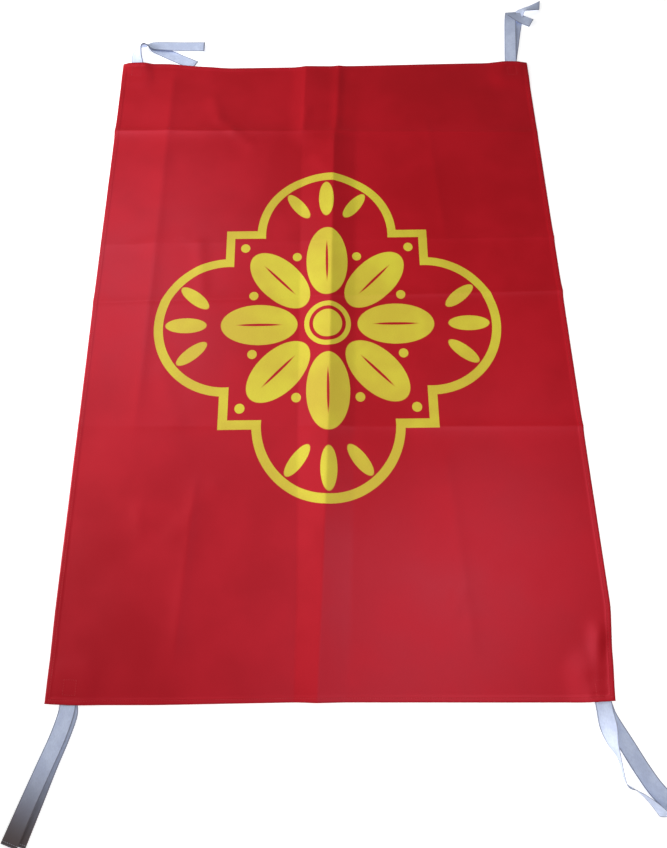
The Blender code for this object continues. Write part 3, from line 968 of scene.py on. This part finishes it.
def build_tie(tie):
    """One tape, folded at its middle, with a narrow hem at each end."""
    lines = np.array(tie_lines(tie))
    normals = np.array(line_normals(lines))
    for k in range(1, len(normals)):
        if normals[k].dot(normals[k - 1]) < 0:
            normals[k] = -normals[k]
    middles = lines.mean(axis=1)
    steps = np.linalg.norm(np.diff(middles, axis=0), axis=1)
    along = np.concatenate([[0.0], np.cumsum(steps)])
    from_end = np.minimum(along, along[-1] - along)
    hem = 1 - smooth((from_end - TAPE_HEM) / TAPE_HEM_STEP)
    half = (TAPE_SKIN + TAPE_HEM_RISE * hem) / 2
    half = half * (TAPE_END_THINNESS + (1 - TAPE_END_THINNESS) * smooth(from_end / TAPE_END_TAPER))
    columns = TAPE_COLUMNS
    from_side = np.minimum(columns, 1 - columns)
    bulge = TAPE_SIDE_THINNESS + (1 - TAPE_SIDE_THINNESS) * smooth(from_side / TAPE_SIDE_TAPER)
    points = lines[:, None, 0] * (1 - columns[None, :, None]) + lines[:, None, 1] * columns[None, :, None]
    offset = normals[:, None, :] * (half[:, None] * bulge[None, :])[:, :, None]
    over = (points + offset).reshape(-1, 3)
    under = (points - offset).reshape(-1, 3)
    flat = np.stack(np.broadcast_arrays(columns * TAPE_WIDTH, along[:, None]), axis=-1).reshape(-1, 2)
    faces = skin_faces(len(lines), len(columns))[0]
    vertices = np.concatenate([over, under])
    quad = faces[0]
    winding = np.cross(vertices[quad[1]] - vertices[quad[0]], vertices[quad[3]] - vertices[quad[0]])
    if winding.dot(normals[0]) < 0:
        faces = [face[::-1] for face in faces]
    name = tie.name + "_tape"
    woven = tape(name, float(along[-1]), tie.soiled)
    thing = add_mesh(name, vertices, faces, np.concatenate([flat, flat]), [0] * len(faces), [woven])
    stitches = []
    stitch_line = TAPE_HEM - TAPE_HEM_STITCH_IN
    for place_along in (stitch_line, along[-1] - stitch_line):
        k = int(np.argmin(np.abs(along - place_along)))
        for share in np.linspace(0.08, 0.92, TAPE_HEM_STITCHES):
            for side in (1, -1):
                centre = lines[k, 0] * (1 - share) + lines[k, 1] * share
                facing = normals[k] * side
                place = centre + facing * (half[k] + TAPE_STITCH_RISE)
                stitches.append((place, unit(lines[k, 1] - lines[k, 0]), facing))
    return thing, stitches


class Graph:
    """Short names for building a material's nodes."""

    def __init__(self, name):
        self.material = bpy.data.materials.new(name)
        self.material.use_nodes = True
        self.tree = self.material.node_tree
        self.surface = self.tree.nodes["Principled BSDF"]

    def node(self, kind, **settings):
        made = self.tree.nodes.new(kind)
        for key, value in settings.items():
            setattr(made, key, value)
        return made

    def feed(self, socket, value):
        if isinstance(value, bpy.types.NodeSocket):
            self.tree.links.new(value, socket)
        elif isinstance(value, tuple) and len(value) == 3 and socket.type == "RGBA":
            socket.default_value = value + (1.0,)
        else:
            socket.default_value = value

    def set(self, name, value):
        """Sets a constant on the surface's own socket."""
        self.surface.inputs[name].default_value = value

    def lead(self, name, value):
        """Leads a changing value to the surface."""
        self.tree.links.new(value, self.surface.inputs[name])

    def math(self, operation, first, second=None, third=None):
        made = self.node("ShaderNodeMath", operation=operation)
        for socket, value in zip(made.inputs, (first, second, third)):
            if value is not None:
                self.feed(socket, value)
        return made.outputs[0]

    def add(self, first, second):
        return self.math("ADD", first, second)

    def take(self, first, second):
        return self.math("SUBTRACT", first, second)

    def times(self, first, second):
        return self.math("MULTIPLY", first, second)

    def least(self, first, second):
        return self.math("MINIMUM", first, second)

    def most(self, first, second):
        return self.math("MAXIMUM", first, second)

    def size(self, first):
        return self.math("ABSOLUTE", first)

    def length(self, first, second):
        return self.math("SQRT", self.add(self.times(first, first), self.times(second, second)))

    def wave(self, place, pitch):
        """A sine wave along a place in metres."""
        return self.math("SINE", self.times(place, 2 * math.pi / pitch))

    def cover(self, distance, edge):
        """1 where a distance is below 0, with a soft edge."""
        made = self.node("ShaderNodeMath", operation="MULTIPLY_ADD", use_clamp=True)
        self.feed(made.inputs[0], distance)
        made.inputs[1].default_value = -1.0 / edge
        made.inputs[2].default_value = 0.5
        return made.outputs[0]

    def ramp(self, value, low, high):
        """0 below low and 1 above high."""
        made = self.node("ShaderNodeMapRange", interpolation_type="SMOOTHSTEP")
        self.feed(made.inputs["Value"], value)
        made.inputs["From Min"].default_value = low
        made.inputs["From Max"].default_value = high
        return made.outputs["Result"]

    def mix(self, share, first, second):
        made = self.node("ShaderNodeMix", data_type="RGBA")
        self.feed(made.inputs["Factor"], share)
        self.feed(made.inputs[6], first)
        self.feed(made.inputs[7], second)
        return made.outputs[2]

    def shaded(self, colour, tone):
        """The colour, lighter or darker by a tone."""
        grey = self.node("ShaderNodeCombineColor")
        for socket in grey.inputs:
            self.tree.links.new(tone, socket)
        made = self.node("ShaderNodeMix", data_type="RGBA", blend_type="MULTIPLY")
        made.inputs["Factor"].default_value = 1.0
        self.tree.links.new(colour, made.inputs[6])
        self.tree.links.new(grey.outputs[0], made.inputs[7])
        return made.outputs[2]

    def flat_place(self):
        """The flat map's vector, and its two coordinates in metres."""
        uv = self.node("ShaderNodeUVMap", uv_map="flat")
        parts = self.node("ShaderNodeSeparateXYZ")
        self.tree.links.new(uv.outputs[0], parts.inputs[0])
        return uv.outputs[0], parts.outputs[0], parts.outputs[1]

    def noise(self, place, scale, detail, roughness, stretch=(1.0, 1.0, 1.0)):
        mapping = self.node("ShaderNodeMapping")
        self.tree.links.new(place, mapping.inputs["Vector"])
        mapping.inputs["Scale"].default_value = stretch
        made = self.node("ShaderNodeTexNoise", noise_dimensions="2D")
        self.tree.links.new(mapping.outputs[0], made.inputs["Vector"])
        made.inputs["Scale"].default_value = scale
        made.inputs["Detail"].default_value = detail
        made.inputs["Roughness"].default_value = roughness
        return made.outputs[0]

    def bump(self, height, distance, strength):
        made = self.node("ShaderNodeBump")
        made.inputs["Strength"].default_value = strength
        made.inputs["Distance"].default_value = distance
        self.feed(made.inputs["Height"], height)
        self.tree.links.new(made.outputs[0], self.surface.inputs["Normal"])


def ellipse(graph, across, along, half_across, half_along):
    """About how far outside an ellipse a place is."""
    scaled = graph.length(graph.times(across, 1 / half_across), graph.times(along, 1 / half_along))
    return graph.times(graph.take(scaled, 1.0), min(half_across, half_along))


def design_cover(graph, x, up):
    """Where the printed design is: 1 in the yellow and 0 in the red."""
    right = graph.size(graph.take(x, DESIGN_X))
    above = graph.size(graph.times(graph.take(up, DESIGN_UP), 1 / DESIGN_STRETCH))
    out = graph.most(right, above)
    side = graph.least(right, above)

    lobe = graph.take(graph.length(graph.take(out, FRAME_HALF), side), FRAME_LOBE)
    square = graph.take(out, FRAME_HALF)
    outline = graph.take(graph.size(graph.least(lobe, square)), FRAME_LINE / 2)

    sine = math.sin(math.pi / 8)
    cosine = math.cos(math.pi / 8)
    fold = graph.least(graph.take(graph.times(out, sine), graph.times(side, cosine)), 0.0)
    petal_out = graph.take(out, graph.times(fold, 2 * sine))
    petal_side = graph.add(side, graph.times(fold, 2 * cosine))
    beyond = graph.take(petal_out, PETAL_AT)
    petal = ellipse(graph, beyond, petal_side, PETAL_HALF_LENGTH, PETAL_HALF_WIDTH)
    vein = ellipse(graph, beyond, petal_side, VEIN_HALF_LENGTH, VEIN_HALF_WIDTH)
    petal = graph.most(petal, graph.times(vein, -1.0))
    seed_out = graph.take(petal_out, SEED_AT * cosine)
    seed_side = graph.take(petal_side, SEED_AT * sine)
    seed = graph.take(graph.length(seed_out, seed_side), SEED_RADIUS)

    radius = graph.length(out, side)
    moat = graph.take(HEART_RADIUS + HEART_MOAT, radius)
    petal = graph.most(petal, moat)
    heart = graph.take(radius, HEART_RADIUS)
    ring = graph.take(HEART_RING_LINE / 2, graph.size(graph.take(radius, HEART_RING)))
    heart = graph.most(heart, ring)

    corner = graph.length(graph.take(out, CORNER_DOT_AT), graph.take(side, CORNER_DOT_AT))
    corner = graph.take(corner, CORNER_DOT_RADIUS)

    nearest = graph.least(outline, graph.least(petal, seed))
    nearest = graph.least(nearest, graph.least(heart, corner))
    for leaf in LEAVES:
        turn = math.radians(leaf.turn)
        leaf_out = graph.take(out, leaf.out)
        leaf_side = graph.take(side, leaf.side)
        length = graph.add(graph.times(leaf_out, math.cos(turn)), graph.times(leaf_side, math.sin(turn)))
        width = graph.take(graph.times(leaf_side, math.cos(turn)), graph.times(leaf_out, math.sin(turn)))
        shape = ellipse(graph, length, width, leaf.half_length, leaf.half_width)
        nearest = graph.least(nearest, shape)
    return graph.cover(nearest, PRINT_EDGE)


def satin(name, print_strength):
    """Red satin with the yellow print, its fine weave and a broken sheen."""
    graph = Graph(name)
    place, x, up = graph.flat_place()
    blotches = graph.noise(place, 9.0, 3.0, 0.55)
    threads = graph.noise(place, 420.0, 2.0, 0.6, (1.0, 4.0, 1.0))
    red = graph.mix(graph.ramp(blotches, 0.30, 0.70), RED_DEEP, RED)
    print_cover = graph.times(design_cover(graph, x, up), print_strength)
    yellow = graph.mix(graph.ramp(blotches, 0.35, 0.75), YELLOW_THIN, YELLOW)
    colour = graph.mix(print_cover, red, yellow)
    tone = graph.math("MULTIPLY_ADD", threads, 0.22, 0.89)
    graph.lead("Base Color", graph.shaded(colour, tone))
    rough = graph.math("MULTIPLY_ADD", blotches, 0.16, 0.41)
    rough = graph.math("MULTIPLY_ADD", print_cover, 0.05, rough)
    graph.lead("Roughness", rough)
    graph.set("IOR", 1.46)
    graph.set("Specular IOR Level", 1.0)
    graph.set("Specular Tint", SATIN_SHEEN + (1.0,))
    graph.set("Anisotropic", 0.25)
    weft = graph.wave(up, WEFT_PITCH)
    warp = graph.wave(x, WARP_PITCH)
    weave = graph.add(graph.times(weft, 0.5), graph.times(warp, 0.3))
    weave = graph.add(weave, graph.times(threads, 1.2))
    graph.bump(weave, 0.00002, 0.55)
    return graph.material


def tape(name, length, soiled):
    """White woven tape with firm edges, painted shade along both of them and a darker colour at its very ends.
    Given a reach above 0, painted shade also darkens it over that reach in from its two ends.
    """
    graph = Graph(name)
    place, across, along = graph.flat_place()
    cloudy = graph.noise(place, 60.0, 3.0, 0.6)
    fibres = graph.noise(place, 900.0, 2.0, 0.6, (1.0, 0.35, 1.0))
    colour = graph.mix(graph.ramp(cloudy, 0.35, 0.70), TAPE_SHADE, TAPE_COLOUR)
    edge = graph.least(across, graph.take(TAPE_WIDTH, across))
    # The selvedge band raises the bump and carries painted shade along both edges
    selvedge_and_edge_shade = graph.cover(graph.take(edge, SELVEDGE_WIDTH), SELVEDGE_SOFTNESS)
    colour = graph.mix(graph.times(selvedge_and_edge_shade, 0.80), colour, PAINTED_EDGE_SHADE)
    rib = graph.wave(along, RIB_PITCH)
    twill = graph.wave(graph.add(across, graph.times(along, 0.9)), TWILL_PITCH)
    tone = graph.math("MULTIPLY_ADD", fibres, 0.24, 0.88)
    tone = graph.math("MULTIPLY_ADD", twill, 0.025, tone)
    colour = graph.shaded(colour, tone)
    from_end = graph.least(along, graph.take(length, along))
    # Painted shade: the tape darkens from its ends inwards over the given reach
    if soiled:
        colour = graph.mix(graph.ramp(from_end, 0.0, soiled), TAPE_PAINTED_SHADE, colour)
    # Each tape turns darker over a short length at its very ends
    end_dark = graph.cover(graph.take(from_end, END_DARK_LENGTH), END_DARK_LENGTH)
    colour = graph.mix(graph.times(end_dark, 0.75), colour, END_DARK_COLOUR)
    graph.lead("Base Color", colour)
    graph.set("Roughness", 0.78)
    graph.set("Sheen Weight", 0.10)
    height = graph.add(graph.times(rib, 0.5), graph.times(twill, 0.5))
    height = graph.add(height, graph.times(selvedge_and_edge_shade, 1.5))
    graph.bump(height, 0.00005, 0.6)
    return graph.material


def thread(name, colour):
    """Twisted sewing thread."""
    graph = Graph(name)
    along, around = graph.flat_place()[1:]
    ply = graph.wave(graph.add(along, graph.times(around, 0.6)), PLY_PITCH)
    share = graph.math("MULTIPLY_ADD", ply, 0.5, 0.5)
    dark = tuple(part * 0.72 for part in colour)
    graph.lead("Base Color", graph.mix(share, dark, colour))
    graph.set("Roughness", 0.5)
    return graph.material


def build_floor():
    """A plain pale floor just under the banner."""
    far = FLOOR_HALF
    mesh = bpy.data.meshes.new("floor")
    mesh.from_pydata([(-far, -far, 0), (far, -far, 0), (far, far, 0), (-far, far, 0)], [], [(0, 1, 2, 3)])
    floor = show("floor", mesh)
    floor.location.z = -FLOOR_DROP
    graph = Graph("floor")
    coordinates = graph.node("ShaderNodeTexCoord")
    speck = graph.noise(coordinates.outputs["Object"], 40.0, 3.0, 0.6)
    pale = tuple(part * 0.97 for part in FLOOR_COLOUR)
    graph.lead("Base Color", graph.mix(speck, pale, FLOOR_COLOUR))
    graph.set("Roughness", 0.9)
    graph.set("Specular IOR Level", 0.1)
    graph.set("Emission Color", WHITE)
    graph.set("Emission Strength", FLOOR_GLOW)
    mesh.materials.append(graph.material)


def light_world():
    """A weak even light from all round."""
    world = bpy.data.worlds.new("studio")
    bpy.context.scene.world = world
    world.use_nodes = True
    background = world.node_tree.nodes["Background"]
    background.inputs["Color"].default_value = WHITE
    background.inputs["Strength"].default_value = WORLD_LIGHT


def build_card():
    """The card beside the banner, which the camera doesn't see."""
    corners = [(CARD_X, y, z) for z in (0.0, CARD_HEIGHT) for y in (CARD_START_Y, CARD_END_Y)]
    mesh = bpy.data.meshes.new("card")
    mesh.from_pydata([tuple(np.array(corner) - ROW_SHIFT) for corner in corners], [], [(0, 1, 3, 2)])
    mesh.materials.append(Graph("card").material)
    card = show("card", mesh)
    card.visible_camera = False


def place_lamps():
    """The soft lamps, each turned towards the place it lights."""
    for lamp in LAMPS:
        light = bpy.data.lights.new(lamp.name, "AREA")
        light.shape = "DISK"
        light.size = lamp.size
        light.energy = lamp.watts
        light.color = lamp.colour
        thing = show(lamp.name, light)
        place = Vector(np.array(lamp.place) - ROW_SHIFT)
        aim = Vector(np.array(lamp.aim) - ROW_SHIFT)
        thing.location = place
        thing.rotation_mode = "QUATERNION"
        thing.rotation_quaternion = (aim - place).to_track_quat("-Z", "Y")


def place_camera():
    """The camera at the photograph's angle, with plain view settings."""
    camera = bpy.data.cameras.new("camera")
    camera.lens = CAMERA_LENS
    camera.sensor_width = CAMERA_SENSOR
    camera.sensor_fit = "AUTO"
    camera.clip_start = CAMERA_NEAREST
    camera.clip_end = CAMERA_FARTHEST
    viewer = show("camera", camera)
    viewer.location = Vector(CAMERA_PLACE - ROW_SHIFT)
    viewer.rotation_euler = [math.radians(angle) for angle in CAMERA_TURN]
    bpy.context.scene.camera = viewer
    bpy.context.scene.view_settings.view_transform = "Standard"
    bpy.context.scene.view_settings.look = "None"


build_floor()
light_world()
build_card()
place_lamps()
place_camera()

cloth = build_cloth(satin("satin_face", 1.0), satin("satin_back", BACK_PRINT))
red_thread = thread("red_thread", RED_THREAD)
white_thread = thread("white_thread", WHITE_THREAD)
hem = add_stitches("hem_stitches", hem_stitches(), HEM_STITCH_LENGTH, red_thread)
boxes = add_stitches("tie_stitches", box_stitches(), HEM_STITCH_LENGTH, red_thread)
for piece in (cloth, hem, boxes):
    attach(piece, "root")
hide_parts("banner_cloth")

for tie in TIES:
    ribbon, ends = build_tie(tie)
    sewn = add_stitches(tie.name + "_stitches", ends, TAPE_STITCH_LENGTH, white_thread)
    for piece in (ribbon, sewn):
        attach(piece, "root")
    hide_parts(tie.name)
